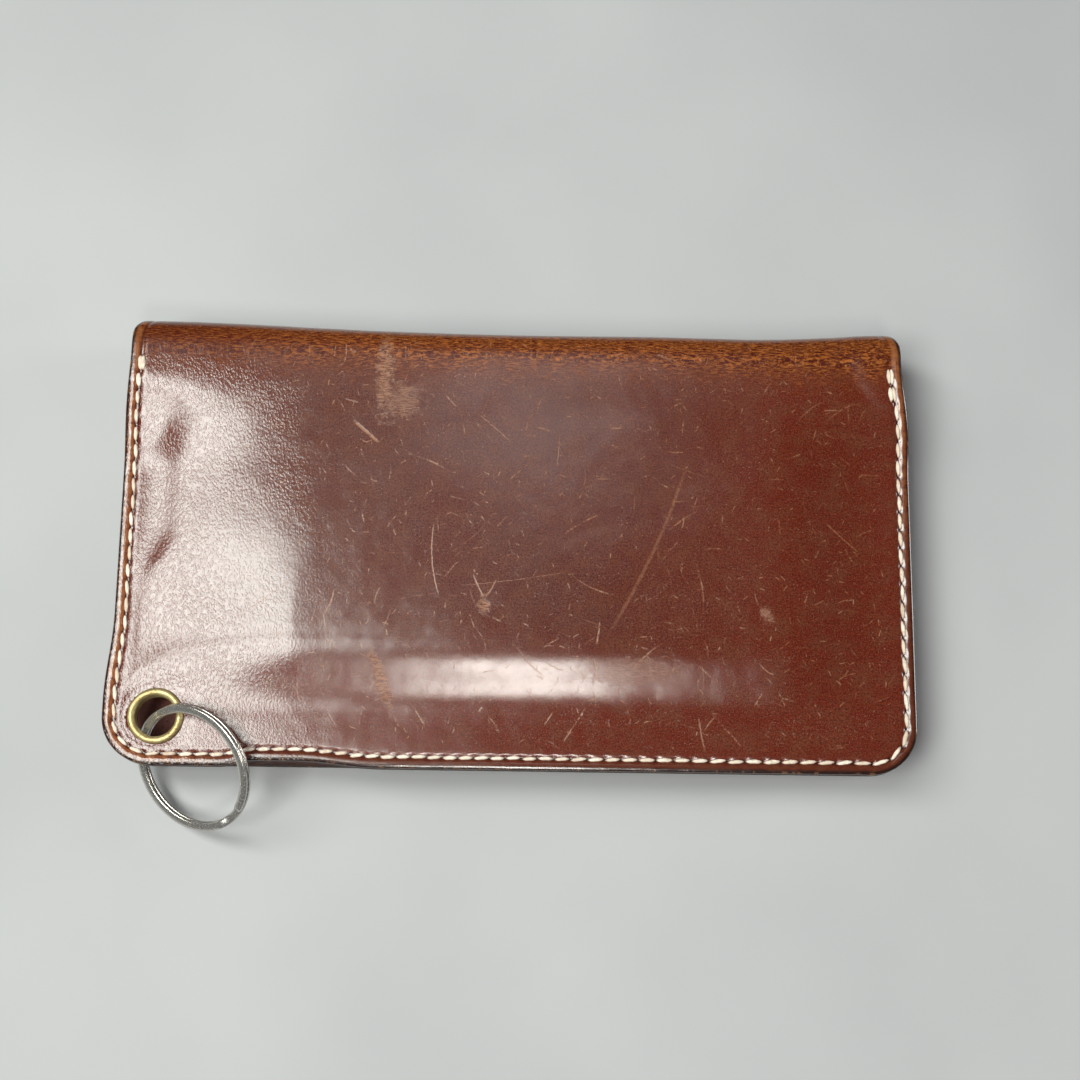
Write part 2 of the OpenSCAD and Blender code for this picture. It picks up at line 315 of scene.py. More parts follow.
def sheet(name, outer, inner, keep=None, rim=None, flip=False, extra=None, rim_steps=6):
    """A closed sheet of leather between two grids of points, with a rounded rim.

    keep marks the grid cells that exist. rim is how far the rim stands out at each grid point.
    extra is {attribute name: grid of values}.
    """
    rows, columns = outer.shape[:2]
    count = rows * columns
    index = np.arange(count).reshape(rows, columns)
    if keep is None:
        keep = np.ones((rows - 1, columns - 1), bool)
    a, b = index[:-1, :-1][keep], index[:-1, 1:][keep]
    c, d = index[1:, 1:][keep], index[1:, :-1][keep]
    top = np.stack([a, d, c, b] if flip else [a, b, c, d], axis=1)
    edges = np.concatenate([top[:, [0, 1]], top[:, [1, 2]], top[:, [2, 3]], top[:, [3, 0]]])
    open_edges = edges[~np.isin(edges[:, 0] * count + edges[:, 1], edges[:, 1] * count + edges[:, 0])]

    flat_outer, flat_inner = outer.reshape(-1, 3), inner.reshape(-1, 3)
    across = flat_outer - flat_inner
    run = flat_outer[open_edges[:, 1]] - flat_outer[open_edges[:, 0]]
    away = np.cross(run, across[open_edges[:, 0]])
    away /= np.maximum(np.linalg.norm(away, axis=1, keepdims=True), 1e-9)
    out = np.zeros_like(flat_outer)
    np.add.at(out, open_edges[:, 0], away)
    np.add.at(out, open_edges[:, 1], away)
    out /= np.maximum(np.linalg.norm(out, axis=1, keepdims=True), 1e-9)
    bulge = np.full(count, RIM) if rim is None else np.asarray(rim).reshape(-1)

    on_rim = np.unique(open_edges)
    place = np.full(count, -1)
    place[on_rim] = np.arange(len(on_rim))
    points = [flat_outer, flat_inner]
    middle = (flat_outer + flat_inner)[on_rim] / 2
    for k in range(1, rim_steps):
        angle = math.pi * k / rim_steps
        side = out[on_rim] * (bulge[on_rim] * math.sin(angle))[:, None]
        points.append(middle + across[on_rim] / 2 * math.cos(angle) + side)

    faces = [top, top[:, ::-1] + count]
    p, q = open_edges[:, 0], open_edges[:, 1]
    lines = [(p, q)]
    for k in range(rim_steps - 1):
        first = 2 * count + k * len(on_rim)
        lines.append((first + place[p], first + place[q]))
    lines.append((p + count, q + count))
    for upper, lower in zip(lines, lines[1:]):
        faces.append(np.stack([upper[1], upper[0], lower[0], lower[1]], axis=1))
    points = np.concatenate(points)
    faces = np.concatenate(faces)

    used = np.unique(faces)
    renumber = np.full(len(points), -1)
    renumber[used] = np.arange(len(used))
    attributes = {}
    for key, values in (extra or {}).items():
        values = values.reshape(count, -1)
        stacked = np.concatenate([values, values] + [values[on_rim]] * (rim_steps - 1))[used]
        attributes[key] = stacked if stacked.shape[1] == 3 else stacked[:, 0]
    obj = mesh_object(name, points[used], renumber[faces], attributes)
    inner_faces = np.zeros(len(faces), bool)
    inner_faces[len(top):2 * len(top)] = True
    obj.data.attributes.new("inner_face", "BOOLEAN", "FACE").data.foreach_set("value", inner_faces)
    return obj


def cell_middles(grid):
    return (grid[:-1, :-1] + grid[1:, 1:]) / 2


def unrolled(x, v):
    """Places on the flat sheet, which the materials follow."""
    return np.stack([x, v, 0 * x], axis=2)


def normals_of(points):
    """Unit normals of a grid of points, for rows along Y and columns along X."""
    n = np.cross(np.gradient(points, axis=1), np.gradient(points, axis=0))
    return n / np.linalg.norm(n, axis=2, keepdims=True)


def strip_faces(rings, sides, closed=False):
    """Faces between rings of points that follow each other, the last ring to the first if closed."""
    i = np.arange(rings if closed else rings - 1)[:, None]
    j = np.arange(sides)[None, :]
    i2, j2 = (i + 1) % rings, (j + 1) % sides
    faces = np.stack([i * sides + j, i * sides + j2, i2 * sides + j2, i2 * sides + j], axis=2)
    return faces.reshape(-1, 4)


def capped(faces, rings, sides):
    """The faces of an open strip with its two ends closed."""
    return faces.tolist() + [list(range(sides))[::-1], [(rings - 1) * sides + k for k in range(sides)]]


def spaced(start, end, step):
    return np.linspace(start, end, max(2, int(round((end - start) / step)) + 1))


def joined(first, *runs):
    """The values of first, then of (start, end, step) runs that each begin where the last one ended."""
    return np.concatenate([first] + [spaced(*run)[1:] for run in runs])


def leaf_columns(fine, coarse):
    """X values of the grid columns of a leaf, close together near both ends."""
    end = HALF - RIM
    left = spaced(-end, -end + 10, fine)
    return np.concatenate([joined(left, (-end + 10, end - 10, coarse))[:-1], -left[::-1]])


def corner_rows(steps):
    """Y values that follow the round corners of the opening edge evenly."""
    r = CORNER - RIM
    return -EDGE + RIM + r * (1 - np.cos(np.linspace(0, math.pi / 2, steps)))


# ---------------------------------------------------------------- outer leather
def shell_grid():
    """Grid of x and of the distance v from the opening edge, over a leaf and its half of the fold."""
    start = corner_rows(27)
    flat = spaced(start[-1], FOLD_Y, 0.85)
    arc = np.sin(np.linspace(0, math.pi / 2, 40)) * FOLD_ARC
    v = np.concatenate([start + EDGE, flat[1:] + EDGE, FLAT_RUN + arc[1:]])
    x, v = np.meshgrid(leaf_columns(0.35, 0.85), v)
    x = fit_to_corners(x, np.minimum(v - EDGE, FOLD_Y), RIM)
    return x, v


def fold_turn(v):
    """Angle round the fold: 0 where it starts and a quarter turn at its outer line."""
    return math.pi / 2 * np.clip((v - FLAT_RUN) / FOLD_ARC, 0, 1)


def make_front_shell():
    x, v = shell_grid()
    y = np.minimum(v - EDGE, FOLD_Y)
    turn = fold_turn(v)
    dent = sewn(x, y, 0.25, 0.42)
    height = front_top(x, y) - dent
    half_height = height - TOP / 2
    outer = np.stack([
        x + flare(x, y) + end_pull(x, v),
        y + lift(x, y) + (FOLD_R - fold_bow(x)) * np.sin(turn) ** FOLD_POWER,
        TOP / 2 + half_height * np.cos(turn) ** FOLD_POWER,
    ], axis=2)
    normals = normals_of(outer)
    normals[-1] = (0, 1, 0)
    inner = outer - LEATHER * normals
    rim = np.where(v > v.max() - 0.01, 0.0, RIM)
    extra = {"flat": unrolled(x, v), "border": border_distance(x, y), "dent": dent}
    keep = eyelet_gap(x, y)
    obj = sheet("front_leather", outer, inner, keep=keep, rim=rim, extra=extra)
    flat_shade(obj, 65)
    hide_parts("shell_front", "shell_spine")
    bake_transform(obj)
    return obj


def make_back_shell():
    x, v = shell_grid()
    y = np.minimum(v - EDGE, FOLD_Y)
    turn = fold_turn(v)
    height = sewn(x, y, 0.2, 0.3)
    outer = np.stack([
        x + spread(x) * (1 - ramp((v - FLAT_RUN + 10) / 20)) + end_pull(x, v),
        y + back_step(y) + (FOLD_R - fold_bow(x)) * np.sin(turn) ** FOLD_POWER,
        TOP / 2 - (TOP / 2 - height) * np.cos(turn) ** FOLD_POWER,
    ], axis=2)
    normals = normals_of(outer)
    normals[-1] = (0, -1, 0)
    inner = outer + LEATHER * normals
    rim = np.where(v > v.max() - 0.01, 0.0, RIM)
    whole = 2 * (FLAT_RUN + FOLD_ARC)
    extra = {"flat": unrolled(x, whole - v), "border": border_distance(x, y), "dent": height}
    obj = sheet("back_leather", outer, inner, rim=rim, flip=True, extra=extra)
    flat_shade(obj, 65)
    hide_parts("shell_back", "shell_spine")
    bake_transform(obj)
    return obj


# ---------------------------------------------------------------- eyelet
def eyelet_gap(x, y):
    """Grid cells outside the round hole for the eyelet."""
    return from_eyelet(cell_middles(x), cell_middles(y)) > HOLE_R + TUBE + HOLE_GAP


def revolve(name, profile, steps, wobble=0.0):
    """A ring round the eyelet's axis from a closed profile of (radius, height)."""
    profile = np.asarray(profile)
    a = np.linspace(0, 2 * math.pi, steps, endpoint=False)
    radius, angle = np.meshgrid(profile[:, 0], a)
    height, _ = np.meshgrid(profile[:, 1], a)
    radius = radius + wobble * np.sin(3 * angle + height) * (radius > HOLE_R + 0.3)
    height = height + wobble * np.cos(2 * angle + 1) * (radius > HOLE_R + 0.3)
    points = np.stack([
        EYELET_X + radius * np.cos(angle),
        EYELET_Y + radius * np.sin(angle),
        height,
    ], axis=2).reshape(-1, 3)
    return mesh_object(name, points, strip_faces(steps, len(profile), closed=True)[:, [0, 3, 2, 1]])


def arc_points(cx, cz, rx, rz, start, end, steps):
    a = np.radians(np.linspace(start, end, steps))
    return [(cx + rx * math.cos(t), cz + rz * math.sin(t)) for t in a]


def make_eyelet():
    """A rolled brass flange on top, its tube, and the washer that the tube is rolled over."""
    top = BORDER
    bottom = lining_low[2]
    mid = (HOLE_R + FLANGE_R) / 2
    wide = (FLANGE_R - HOLE_R) / 2
    tall = eyelet_high[2] - top
    profile = arc_points(mid, top, wide, tall, 180, 0, 22)
    profile += arc_points(mid + 0.2, top + 0.02, wide - 0.3, 0.1, 0, 170, 6)
    profile += [(HOLE_R + TUBE, top - 0.1), (HOLE_R + TUBE, bottom + 0.1)]
    profile += arc_points(HOLE_R + 0.62, bottom - 0.25, 0.62, 0.4, 60, 180, 8)
    profile += [(HOLE_R, bottom + 0.2)]
    barrel = revolve("eyelet_flange", profile[::-1], 144, 0.03)
    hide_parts("eyelet_barrel")
    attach(barrel, "front_leaf")
    low = box_mm("eyelet_washer")[0][2]
    inner_r = HOLE_R + TUBE
    ring = arc_points((inner_r + FLANGE_R) / 2, bottom, (FLANGE_R - inner_r) / 2, bottom - low, 180, 360, 16)
    washer = revolve("eyelet_washer_ring", ring, 120)
    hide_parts("eyelet_washer")
    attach(washer, "front_leaf")
    return barrel, washer


# ---------------------------------------------------------------- split ring
RING_RADIUS = 13.9
RING_WIRE = 1.9
RING_COIL = 0.98
RING_LIFT = 0.52
RING_HEADING = math.radians(-52.6)
RING_DIP = math.radians(5)
RING_SLOPE = math.radians(40)


def make_ring():
    """One wire wound twice: two flat coils with a step between them beside the two ends."""
    centre = Vector((EYELET_X, EYELET_Y, (BORDER + lining_low[2]) / 2))
    turn = Matrix.Rotation(RING_HEADING, 3, "Z")
    turn = turn @ Matrix.Rotation(RING_DIP, 3, "Y") @ Matrix.Rotation(RING_SLOPE, 3, "X")
    turn = np.array(turn)
    t = np.arange(0, 692.1, 2.0)
    phi = np.radians(348 - t)
    lift = RING_LIFT * (2 * ramp((t - 344) / 18) - 1)
    section = np.radians(np.arange(0, 360, 15))
    u, w = np.cos(section), np.sin(section)
    size = (np.abs(u) ** 3.2 + np.abs(w) ** 3.2) ** (-1 / 3.2)
    points = []
    for k, (p, z) in enumerate(zip(phi, lift)):
        from_end = min(k, len(phi) - 1 - k)
        scale = (0.82, 0.96)[from_end] if from_end < 2 else 1.0
        radial = RING_RADIUS + u * size * RING_WIRE / 2 * scale
        axial = z + w * size * RING_COIL / 2 * scale
        local = np.stack([radial * math.cos(p) + RING_RADIUS, radial * math.sin(p), axial], axis=1)
        points.append(local @ turn.T + np.array(centre))
    rings, n = len(points), len(section)
    points = np.concatenate(points)
    obj = mesh_object("key_ring", points, capped(strip_faces(rings, n), rings, n))
    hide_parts("split_ring")
    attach(obj, "ring")
    return obj


# ---------------------------------------------------------------- thread
def stitch_template():
    """One stitch along X, one unit long and wide: a short twisted cord with sunk ends."""
    steps, sides = 19, 12
    u = np.linspace(-1, 1, steps)
    a = np.linspace(0, 2 * math.pi, sides, endpoint=False)
    u, a = np.meshgrid(u, a, indexing="ij")
    body = (1 - np.abs(u) ** 2.2) ** 0.75 + 0.02
    ply = 1 + 0.09 * np.cos(3 * a - 6.5 * u)
    x = u * 0.5
    y = 0.5 * body * ply * np.cos(a)
    z = 0.5 * body * ply * np.sin(a) - 0.55 * np.abs(u) ** 3
    points = np.stack([x, y, z], axis=2).reshape(-1, 3)
    return points, capped(strip_faces(steps, sides), steps, sides), u.reshape(-1)


STITCH = stitch_template()


def thread_mesh(name, places, node, body):
    """places holds (x, y, z, direction, length, width, height, up) of each stitch."""
    shape, faces, along = STITCH
    points, all_faces, tone, local = [], [], [], []
    for k, (x, y, z, turn, length, width, height, up) in enumerate(places):
        turn = turn + math.radians(5 + rng.normal(0, 2.0)) * up
        p = shape * [length * (1 + rng.normal(0, 0.03)), width * (1 + rng.normal(0, 0.05)), height]
        p[:, 1] += rng.normal(0, 0.05)
        c, s = math.cos(turn), math.sin(turn)
        px, py, pz = p.T
        points.append(np.stack([x + c * px - s * py, y + s * px + c * py, z + up * pz], axis=1))
        start = k * len(shape)
        step = 1 if up > 0 else -1
        all_faces += [[i + start for i in f][::step] for f in faces]
        tone.append(np.full(len(shape), rng.uniform(0, 1)))
        local.append(along)
    attributes = {"tone": np.concatenate(tone), "along": np.concatenate(local)}
    obj = mesh_object(name, np.concatenate(points), all_faces, attributes)
    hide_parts(node)
    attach(obj, body)


def front_seam():
    places = []
    last = len(STITCHES) - 1
    for k, (x, y, turn, pitch) in enumerate(STITCHES):
        z = float(front_top(x, y)) - 0.02
        px = x + float(flare(x, y) + end_pull(x, y + EDGE))
        y += float(lift(x, y))
        width = 1.2 if k < 2 else 0.86
        places.append((px, y, z, turn, pitch * 0.95, width, 0.8, 1))
        if k < 1 or k > last - 2:
            side = 0.75 if k > last - 2 else 0.6
            nx, ny = -math.sin(turn) * side, math.cos(turn) * side
            places.append((px + nx, y + ny, z + 0.1, turn, pitch * 0.95, 1.0, 0.9, 1))
        under = panel_low_at(x)
        places.append((px, y, under - 0.05, turn, pitch * 0.9, 1.0, 0.55, -1))
    thread_mesh("thread_front", places, "seam_front", "front_leaf")


def panel_low_at(x):
    """Height of the front leaf's inner face on its border."""
    return lining_low[2] if x < panel_low[0] else lining_low[2] - (lining_high[2] - lining_low[2])


def card_side_top(x, y):
    """Height of the card side at a place on it."""
    top = lining_top
    if x < slip_high[0] and y < slip_high[1]:
        top = slip_high[2]
    for low, high in TIERS:
        if x >= low[0] and y < high[1]:
            top = max(top, high[2])
    return top


def back_seam():
    places = []
    for x, y, turn, pitch in STITCHES:
        px = x + float(spread(x) + end_pull(x, y + EDGE))
        y += float(back_step(y))
        places.append((px, y, 0.36, turn, pitch * 0.95, 1.1, 0.6, -1))
        top = max(card_side_top(x - 1, y - 1.9), card_side_top(x + 1, y - 1.9))
        places.append((px, y, top + 0.05, turn, pitch * 0.9, 1.0, 0.6, 1))
    thread_mesh("thread_back", places, "seam_back", "back_leaf")


def straight_stitches(x1, y1, x2, y2, z, up, pitch=3.6):
    run = math.hypot(x2 - x1, y2 - y1)
    count = int(run / pitch)
    turn = math.atan2(y2 - y1, x2 - x1)
    places = []
    for k in range(count):
        t = (k + 0.5) / count
        x, y = x1 + (x2 - x1) * t, y1 + (y2 - y1) * t
        places.append((x, y, z + 0.04 * up, turn, run / count * 0.92, 0.95, 0.62, up))
    return places


def inner_seams():
    column = slip_high[0]
    steps = []
    start = box_mm("seam_divider")[0][1]
    lowest = start
    for _, tier_high in reversed(TIERS):
        steps += straight_stitches(column + 2.2, lowest, column + 2.2, tier_high[1] - 1.2, tier_high[2], 1)
        lowest = tier_high[1] + 1.0
    steps += straight_stitches(column - 2.2, start, column - 2.2, slip_high[1] - 2, slip_high[2], 1)
    thread_mesh("thread_divider", steps, "seam_divider", "back_leaf")
    low, high = box_mm("seam_coin_end")
    middle = (low[0] + high[0]) / 2
    places = straight_stitches(middle, low[1], middle, high[1], panel_low_at(0), -1)
    thread_mesh("thread_coin_end", places, "seam_coin_end", "front_leaf")
    for name in ("seam_zip_upper", "seam_zip_lower"):
        low, high = box_mm(name)
        middle = (low[1] + high[1]) / 2
        places = straight_stitches(low[0], middle, high[0], middle, high[2], -1, 2.9)
        thread_mesh(name.replace("seam", "thread"), places, name, "front_leaf")


# ---------------------------------------------------------------- inner leather
def flat_piece(name, node, body, warp, face=1):
    """A thin lining or pocket. face is 1 on the back leaf and -1 on the front leaf, which has the eyelet."""
    low, high = box_mm(node)
    top, z_low, z_high = high[1], low[2], high[2]
    step = 1.1
    rows = joined(corner_rows(16), (-EDGE + CORNER, top - 4, step), (top - 4, top, 0.3))
    start = max(low[0], -HALF + RIM)
    end = min(high[0], HALF - RIM)
    columns = joined(spaced(start, start + 6, 0.6), (start + 6, end - 6, step), (end - 6, end, 0.6))
    x, y = np.meshgrid(columns, rows)
    x = fit_to_corners(x, y, RIM)
    crease = 0.14 * np.exp(-(((top - 2.2 - y) / 0.35) ** 2))
    puff = 0.12 * waves(x, y, 15.0, 1.1 + z_low) * ramp(border_distance(x, y) / 15)
    upper = z_high + 0 * x
    lower = z_low + 0 * x
    if face > 0:
        upper = upper - crease + np.minimum(puff, 0) - sewn(x, y, 0.12, 0.2)
    else:
        lower = lower + crease - np.minimum(puff, 0) + sewn(x, y, 0.12, 0.2)
    shift_x, shift_y = warp(x, y)
    outer = np.stack([x + shift_x, y + shift_y, upper], axis=2)
    inner = np.stack([x + shift_x, y + shift_y, lower], axis=2)
    extra = {"flat": unrolled(x, y + EDGE + 300 * face),
             "border": np.minimum(border_distance(x, y), top - y)}
    keep = eyelet_gap(x, y) if face < 0 else None
    obj = sheet(name, outer, inner, keep=keep, rim=0.3 + 0 * x, extra=extra, rim_steps=4)
    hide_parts(node)
    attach(obj, body)
    return obj


def with_back_leaf(x, y):
    return spread(x) + end_pull(x, y + EDGE), back_step(y)


def with_front_leaf(x, y):
    return flare(x, y) + end_pull(x, y + EDGE), lift(x, y)


def make_inner_leather():
    made = []
    names = [("back_lining", "lining_back"), ("slip_pocket", "pocket_slip"),
             ("card_pocket_rear", "pocket_card_1"), ("card_pocket_middle", "pocket_card_2"),
             ("card_pocket_front", "pocket_card_3")]
    for node, name in names:
        made.append(flat_piece(name, node, "back_leaf", with_back_leaf))
    made.append(flat_piece("lining_front", "front_lining", "front_leaf", with_front_leaf, face=-1))
    return made


def make_zip_panel():
    """The coin pocket's front: sewn flat at its border, sunk in the middle, with the zip's window."""
    thick = lining_high[2] - lining_low[2]
    rest = lining_low[2] - thick
    left, right, top = panel_low[0], HALF - RIM, panel_high[1]
    xs = joined(spaced(left, WINDOW_X[0], 0.8), (*WINDOW_X, 1.2), (WINDOW_X[1], right, 0.5))
    low_y, high_y = ZIP_Y - WINDOW_HALF, ZIP_Y + WINDOW_HALF
    ys = joined(corner_rows(16), (-EDGE + CORNER, low_y, 1.1), (low_y, high_y, 1.0), (high_y, top, 0.4))
    x, y = np.meshgrid(xs, ys)
    x = fit_to_corners(x, y, RIM)
    sink = ramp((x - left - 3) / 6) * ramp((HALF - 3.5 - x) / 7)
    sink = sink * ramp((y + EDGE - 6) / 14) * ramp((top - y - 1) / 4)
    from_window = np.maximum(np.abs(y - ZIP_Y) - WINDOW_HALF, 0)
    lip = 0.25 * np.exp(-from_window / 1.2) * (x > WINDOW_X[0] - 3) * (x < WINDOW_X[1] + 3)
    under = rest - (rest - panel_low[2]) * sink + sewn(x, y, 0.12, 0.2) + lip * 0.3
    cx, cy = cell_middles(x), cell_middles(y)
    keep = ~((np.abs(cy - ZIP_Y) < WINDOW_HALF) & (cx > WINDOW_X[0]) & (cx < WINDOW_X[1]))
    outer = np.stack([x, y + lift(x, y), under + thick], axis=2)
    inner = np.stack([x, y + lift(x, y), under], axis=2)
    extra = {"flat": unrolled(x, y + EDGE + 900), "border": border_distance(x, y)}
    obj = sheet("zip_panel_leather", outer, inner, keep=keep, rim=0.3 + 0 * x, extra=extra, rim_steps=4)
    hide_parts("zip_panel")
    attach(obj, "front_leaf")
    return obj


# ---------------------------------------------------------------- zip
def make_tapes():
    made = []
    for node in ("zip_tape_upper", "zip_tape_lower"):
        low, high = box_mm(node)
        x, y = np.meshgrid(spaced(low[0], high[0], 1.0), spaced(low[1], high[1], 0.35))
        rib = 0.05 * np.sin(y * 2 * math.pi / 1.4)
        outer = np.stack([x, y, high[2] + rib], axis=2)
        inner = np.stack([x, y, low[2] + rib], axis=2)
        extra = {"flat": unrolled(x, y)}
        obj = sheet(node.replace("zip_", "cloth_"), outer, inner, rim=0.15 + 0 * x, rim_steps=3, extra=extra)
        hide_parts(node)
        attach(obj, "front_leaf")
        made.append(obj)
    return made


def tooth_template():
    """A zip tooth along Y from 0 to 1: clamped legs, a waist and a rounded head."""
    bm = bmesh.new()
    for low, high, wide, tall in ((0.0, 0.62, 1.0, 1.0), (0.55, 1.0, 1.15, 0.72)):
        made = bmesh.ops.create_cube(bm, size=1.0)
        for v in made["verts"]:
            v.co = Vector((v.co.x * wide, low + (v.co.y + 0.5) * (high - low), v.co.z * tall))
    bmesh.ops.bevel(bm, geom=list(bm.edges), offset=0.1, segments=2, affect="EDGES", profile=0.6)
    bm.verts.index_update()
    points = np.array([v.co[:] for v in bm.verts])
    faces = [[v.index for v in f.verts] for f in bm.faces]
    bm.free()
    return points, faces


def make_teeth():
    shape, faces = tooth_template()
    made = []
    for node, side in (("zip_teeth_upper", 1), ("zip_teeth_lower", -1)):
        low, high = box_mm(node)
        count = int(round((high[0] - low[0] - TOOTH_WIDTH) / TOOTH_PITCH)) + 1
        outer_y = high[1] if side > 0 else low[1]
        reach = abs(outer_y - ZIP_Y) + 0.55
        points, all_faces = [], []
        for k in range(count):
            p = shape * [TOOTH_WIDTH, -side * reach, high[2] - low[2]]
            p = p + [low[0] + TOOTH_WIDTH / 2 + k * TOOTH_PITCH, outer_y, (low[2] + high[2]) / 2]
            start = k * len(shape)
            points.append(p)
            all_faces += [[i + start for i in f][::-side] for f in faces]
        obj = mesh_object(node.replace("zip_", "metal_"), np.concatenate(points), all_faces)
        flat_shade(obj)
        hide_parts(node)
        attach(obj, "front_leaf")
        made.append(obj)
    return made


def flat_shade(obj, angle=35):
    """Smooth shading only across edges flatter than angle."""
    obj.data.set_sharp_from_angle(angle=math.radians(angle))


def softened(node, name, body, width, segments=3):
    """A copy of a CAD node with its sharp edges rounded."""
    source = frame["nodes"][node]
    mesh = source.data.copy()
    bm = bmesh.new()
    bm.from_mesh(mesh)
    bmesh.ops.remove_doubles(bm, verts=bm.verts, dist=1e-6)
    bmesh.ops.dissolve_limit(bm, angle_limit=math.radians(2), verts=bm.verts, edges=bm.edges)
    sharp = [e for e in bm.edges if e.is_manifold and e.calc_face_angle(0) > math.radians(35)]
    bmesh.ops.bevel(bm, geom=sharp, offset=width * MM, segments=segments, affect="EDGES", clamp_overlap=True)
    bm.to_mesh(mesh)
    bm.free()
    mesh.shade_smooth()
    mesh.materials.clear()
    obj = bpy.data.objects.new(name, mesh)
    bpy.context.collection.objects.link(obj)
    flat_shade(obj, 40)
    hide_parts(node)
    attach(obj, body)
    return obj


# ---------------------------------------------------------------- materials
class Shader:
    """Short calls that add nodes to a material and return their output sockets."""

    def __init__(self, name):
        self.material = bpy.data.materials.new(name)
        self.material.use_nodes = True
        self.tree = self.material.node_tree
        self.tree.nodes.clear()
        self.surface = self.tree.nodes.new("ShaderNodeBsdfPrincipled")
        output = self.tree.nodes.new("ShaderNodeOutputMaterial")
        self.tree.links.new(self.surface.outputs[0], output.inputs[0])

    def put(self, socket, value):
        if isinstance(value, bpy.types.NodeSocket):
            self.tree.links.new(value, socket)
        elif isinstance(value, (tuple, list)) and len(value) == 3 and len(socket.default_value) == 4:
            socket.default_value = (*value, 1.0)
        else:
            socket.default_value = value

    def add(self, kind, inputs, output=0, **settings):
        node = self.tree.nodes.new(kind)
        for key, value in settings.items():
            setattr(node, key, value)
        for key, value in inputs.items():
            self.put(node.inputs[key], value)
        return node.outputs[output]

    def attribute(self, name, output="Vector"):
        return self.add("ShaderNodeAttribute", {}, output, attribute_name=name)

    def place(self):
        """The point in the object's own frame, in millimetres."""
        at = self.add("ShaderNodeTexCoord", {}, "Object")
        return self.add("ShaderNodeVectorMath", {0: at, 3: 1000.0}, operation="SCALE")

    def math(self, operation, a, b=0.0, clamp=False):
        return self.add("ShaderNodeMath", {0: a, 1: b}, operation=operation, use_clamp=clamp)

    def chain(self, operation, first, *others):
        """One operation over all the values, from left to right."""
        for value in others:
            first = self.math(operation, first, value)
        return first

    def times(self, *values):
        return self.chain("MULTIPLY", *values)

    def plus(self, *values):
        return self.chain("ADD", *values)

    def largest(self, *values):
        return self.chain("MAXIMUM", *values)

    def minus(self, a, b):
        return self.math("SUBTRACT", a, b)

    def size(self, a):
        return self.math("ABSOLUTE", a)

    def vector(self, operation, a, b):
        return self.add("ShaderNodeVectorMath", {0: a, 1: b}, operation=operation)

    def plus_vector(self, a, b, amount):
        """a moved by amount times b."""
        moved = self.add("ShaderNodeVectorMath", {0: b, 3: amount}, operation="SCALE")
        return self.vector("ADD", a, moved)

    def wander(self, vector, scale):
        """A slow random colour, to bend a pattern with."""
        return self.add("ShaderNodeTexNoise", {"Vector": vector, "Scale": scale, "Detail": 2.0}, "Color")

    def parts(self, vector):
        node = self.tree.nodes.new("ShaderNodeSeparateXYZ")
        self.put(node.inputs[0], vector)
        return node.outputs[0], node.outputs[1], node.outputs[2]

    def turned(self, vector, place=(0, 0, 0), angle=0.0, scale=(1, 1, 1)):
        """vector seen from place, turned by angle in degrees about Z, then scaled."""
        shifted = self.vector("SUBTRACT", vector, place)
        spun = self.add("ShaderNodeVectorRotate", {"Vector": shifted, "Angle": math.radians(-angle)},
                        rotation_type="Z_AXIS")
        return self.vector("MULTIPLY", spun, scale)

    def noise(self, vector, scale, detail=3.0, rough=0.5, warp=0.0):
        return self.add("ShaderNodeTexNoise", {"Vector": vector, "Scale": scale, "Detail": detail,
                                               "Roughness": rough, "Distortion": warp})

    def cells(self, vector, scale, feature="F1", output=0, random=1.0):
        return self.add("ShaderNodeTexVoronoi", {"Vector": vector, "Scale": scale, "Randomness": random},
                        output, feature=feature)

    def span(self, value, low, high, to_low=0.0, to_high=1.0):
        """Smooth step of value from low to high."""
        return self.add("ShaderNodeMapRange", {"Value": value, "From Min": low, "From Max": high,
                                               "To Min": to_low, "To Max": to_high},
                        interpolation_type="SMOOTHSTEP")

    def mix(self, share, a, b, blend="MIX"):
        node = self.tree.nodes.new("ShaderNodeMix")
        node.data_type = "RGBA"
        node.blend_type = blend
        self.put(node.inputs[0], share)
        self.put(node.inputs[6], a)
        self.put(node.inputs[7], b)
        return node.outputs[2]

    def bump(self, height, distance, normal=None, strength=1.0):
        inputs = {"Height": height, "Distance": distance * MM, "Strength": strength}
        if normal is not None:
            inputs["Normal"] = normal
        return self.add("ShaderNodeBump", inputs)

    def set(self, name, value):
        """Sets or links an input of the surface."""
        self.put(self.surface.inputs[name], value)

    def finish(self, obj_slot, *objects):
        for obj in objects:
            obj.data.materials.clear()
            obj.data.materials.append(self.material)


# (x, distance from the opening edge, length, angle, bend, width, strength) of the larger scratches
SCRATCHES = [
    (30.3, 49.2, 46.0, 65.7, 0.0028, 0.75, 0.36),
    (-34.8, 75.7, 8.6, -41.0, 0.0, 0.62, 1.0),
    (-19.3, 46.4, 18.0, -85.0, 0.0148, 0.3, 0.85),
    (-8.9, 40.5, 6.5, -65.0, 0.02, 0.36, 0.85),
    (-6.0, 39.8, 5.5, 60.0, 0.02, 0.34, 0.8),
    (-41.6, 36.3, 6.5, 70.0, 0.03, 0.32, 0.8),
    (41.2, 8.6, 8.5, -80.0, 0.01, 0.34, 0.7),
    (73.4, 53.8, 11.0, -40.0, 0.0, 0.4, 0.55),
    (-56.0, 37.2, 18.0, 35.0, 0.004, 0.3, 0.5),
    (18.0, 30.5, 6.0, 82.0, 0.01, 0.32, 0.8),
    (-5.8, 77.2, 11.0, -41.0, 0.0, 0.25, 0.6),
    (8.8, 72.2, 9.0, 86.0, 0.0, 0.25, 0.6),
    (-1.0, 42.0, 26.0, 8.0, 0.002, 0.22, 0.45),
]

